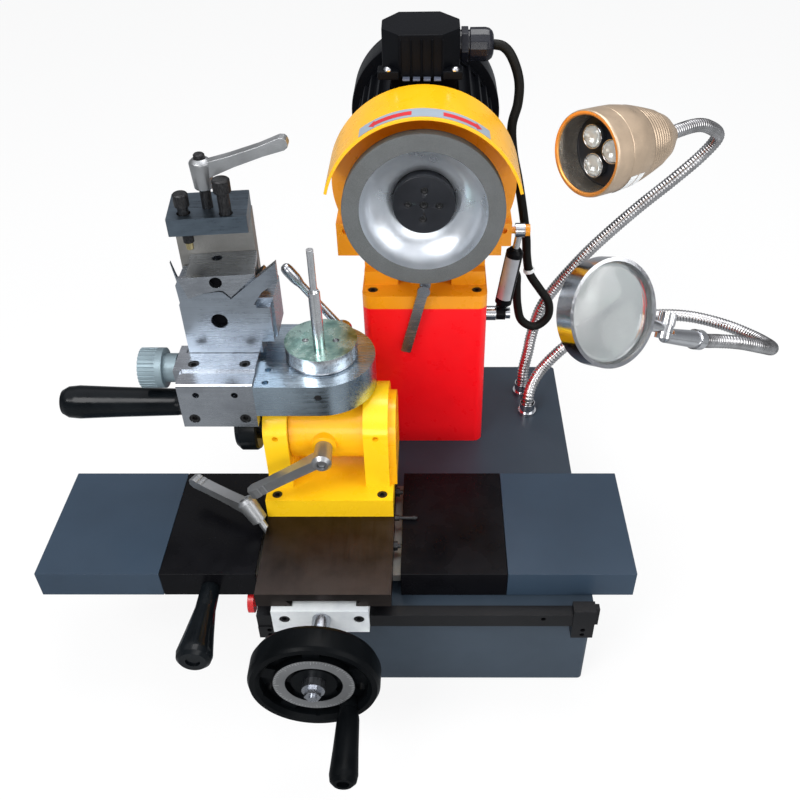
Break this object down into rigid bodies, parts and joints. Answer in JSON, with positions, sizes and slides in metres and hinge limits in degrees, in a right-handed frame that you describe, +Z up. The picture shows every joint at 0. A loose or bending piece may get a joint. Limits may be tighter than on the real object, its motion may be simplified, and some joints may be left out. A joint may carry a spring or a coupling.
{
  "type": "drill bit sharpener",
  "caption": "Bench drill bit sharpener: cup wheel head on a column, sliding table, cross slide, tilting V-block vise, lamp and magnifier.",
  "frame": {"origin": "on the floor under the middle of the machine's whole outline", "axes": "+X along the table to the operator's right, +Y away from the operator, +Z up"},
  "size_m": [0.627, 0.5614, 0.4661],
  "materials": {
    "grey_paint": "semi-gloss enamel",
    "red_paint": "semi-gloss enamel",
    "orange_paint": "semi-gloss enamel",
    "yellow_paint": "semi-gloss enamel",
    "black_paint": "gloss black",
    "ground_steel": "surface ground",
    "dark_steel": "ground, oiled dark",
    "chrome": "polished",
    "lever_grey": "matte cast",
    "black_plastic": "gloss bakelite",
    "motor_black": "black finned casting",
    "bronze": "bronze anodised",
    "abrasive": "abrasive ring in a cast cup",
    "glass": "clear",
    "rubber": "matte",
    "red_plastic": "gloss",
    "cast_dark": "machined"
  },
  "bodies": {
    "base": {"base_shell": "grey_paint", "base_plate": "grey_paint", "base_foot": "rubber", "rear_rail": "ground_steel", "way_beam": "black_paint", "column": "red_paint", "head_base": "orange_paint", "head_pin": "ground_steel", "head_screws": "dark_steel", "stop_box": "chrome", "neck_sockets": "chrome", "lamp_neck": "chrome", "lamp_head": "bronze", "magnifier_neck": "chrome", "gas_bracket": "chrome", "cable_entry": "rubber"},
    "button": {"stop_button": "red_plastic"},
    "carriage": {"carriage_plate": "cast_dark", "grey_covers": "grey_paint", "black_covers": "black_paint", "bearing_block": "ground_steel", "carriage_screws": "dark_steel", "dovetail_way": "ground_steel", "traverse_handle": "black_plastic"},
    "crossfeed": {"lead_screw": "ground_steel", "handwheel": "black_plastic"},
    "grip": {"handwheel_grip": "black_plastic"},
    "slide": {"cross_slide": "dark_steel", "swing_bracket": "yellow_paint", "slide_screws": "dark_steel", "cross_shaft": "ground_steel", "end_hub": "black_plastic", "side_plate": "yellow_paint"},
    "slide_clamp": {"slide_lock": "lever_grey"},
    "tilt": {"tilt_barrel": "yellow_paint", "turntable": "ground_steel"},
    "barrel_clamp": {"barrel_lock": "lever_grey"},
    "swing": {"swing_arm": "ground_steel", "vise_plate": "ground_steel", "arm_screws": "dark_steel", "vise_handle": "black_plastic"},
    "arm_clamp": {"arm_lock": "lever_grey"},
    "vise": {"v_block": "ground_steel", "clamp_column": "cast_dark", "top_block": "dark_steel", "guide_screws": "dark_steel"},
    "drum": {"feed_drum": "ground_steel"},
    "jaw": {"upper_jaw": "ground_steel"},
    "jaw_screw": {"jaw_lever": "lever_grey"},
    "head": {"motor_plate": "orange_paint", "wheel_guard": "yellow_paint", "motor": "motor_black", "terminal_box": "motor_black", "motor_cable": "rubber"},
    "spindle": {"cup_wheel": "abrasive"},
    "gas_body": {"gas_cylinder": "black_plastic"},
    "gas_piston": {"gas_rod": "chrome"},
    "head_clamp": {"head_lever": "ground_steel"},
    "lens": {"magnifier": "chrome", "magnifier_glass": "glass"}
  },
  "joints": [
    {"name": "table_travel", "type": "slide", "parent": "base", "child": "carriage", "axis": [1, 0, 0], "range_m": [0, 0.16]},
    {"name": "cross_travel", "type": "slide", "parent": "carriage", "child": "slide", "axis": [0, -1, 0], "range_m": [-0.02, 0.02]},
    {"name": "handwheel_turn", "type": "hinge", "parent": "carriage", "child": "crossfeed", "pos_m": [-0.08445, -0.2133, 0.109], "axis": [0, -1, 0], "range_deg": [-1801, 1801]},
    {"name": "grip_spin", "type": "hinge", "parent": "crossfeed", "child": "grip", "pos_m": [-0.06045, -0.2473, 0.081], "axis": [0, 1, 0], "continuous": true},
    {"name": "slide_clamp_turn", "type": "hinge", "parent": "slide", "child": "slide_clamp", "pos_m": [-0.14095, -0.0843, 0.1375], "axis": [-0.5332, 0.3078, 0.788], "range_deg": [-20, 20]},
    {"name": "vise_tilt", "type": "hinge", "parent": "slide", "child": "tilt", "pos_m": [-0.08445, -0.0283, 0.195], "axis": [1, 0, 0], "range_deg": [-10, 12]},
    {"name": "barrel_clamp_turn", "type": "hinge", "parent": "tilt", "child": "barrel_clamp", "pos_m": [-0.08545, -0.0673, 0.197], "axis": [0, 1, 0], "range_deg": [-25, 45]},
    {"name": "vise_swing", "type": "hinge", "parent": "tilt", "child": "swing", "pos_m": [-0.08545, -0.0213, 0.25], "axis": [0, 0, 1], "range_deg": [-30, 60]},
    {"name": "arm_clamp_turn", "type": "hinge", "parent": "swing", "child": "arm_clamp", "pos_m": [-0.07345, 0.0247, 0.252], "axis": [0, 1, 0], "range_deg": [-8, 60]},
    {"name": "vise_feed", "type": "slide", "parent": "swing", "child": "vise", "axis": [1, 0, 0], "range_m": [-0.01, 0.01]},
    {"name": "drum_turn", "type": "hinge", "parent": "swing", "child": "drum", "pos_m": [-0.21345, -0.0303, 0.2545], "axis": [1, 0, 0], "range_deg": [-1801, 1801]},
    {"name": "jaw_travel", "type": "slide", "parent": "vise", "child": "jaw", "axis": [0, 0, 1], "range_m": [0, 0.013]},
    {"name": "jaw_screw_turn", "type": "hinge", "parent": "jaw", "child": "jaw_screw", "pos_m": [-0.16075, -0.0012, 0.39], "axis": [0, 0, 1], "range_deg": [-1, 3746]},
    {"name": "head_tilt", "type": "hinge", "parent": "base", "child": "head", "pos_m": [-0.00475, 0.0967, 0.279], "axis": [-1, 0, 0], "range_deg": [-2, 6]},
    {"name": "spindle_turn", "type": "hinge", "parent": "head", "child": "spindle", "pos_m": [-0.00475, 0.0627, 0.3566], "axis": [0, 1, 0], "continuous": true},
    {"name": "gas_swing", "type": "hinge", "parent": "base", "child": "gas_body", "pos_m": [0.06355, 0.0847, 0.2285], "axis": [1, 0, 0], "range_deg": [-3, 2]},
    {"name": "gas_stroke", "type": "slide", "parent": "gas_body", "child": "gas_piston", "axis": [0.1457, 0, 0.9893], "range_m": [-0.002, 0.003]},
    {"name": "head_clamp_turn", "type": "hinge", "parent": "base", "child": "head_clamp", "pos_m": [-0.00545, 0.0487, 0.277], "axis": [0, 1, 0], "range_deg": [-30, 30]},
    {"name": "lens_tilt", "type": "hinge", "parent": "base", "child": "lens", "pos_m": [0.17854, -0.03082, 0.2921], "axis": [0.2162, 0.5695, 0.7931], "range_deg": [-25, 25]},
    {"name": "stop_press", "type": "slide", "parent": "base", "child": "button", "axis": [1, 0, 0], "range_m": [0, 0.003], "stiffness_N_per_m": 400}
  ],
  "couplings": [
    {"joint": "handwheel_turn", "follows": "cross_travel", "rad_per_m": 1570.8},
    {"joint": "drum_turn", "follows": "vise_feed", "rad_per_m": 3141.6},
    {"joint": "jaw_screw_turn", "follows": "jaw_travel", "rad_per_m": 5026.5},
    {"joint": "gas_swing", "follows": "head_tilt", "ratio": -0.40095},
    {"joint": "gas_stroke", "follows": "head_tilt", "m_per_rad": 0.011348}
  ]
}
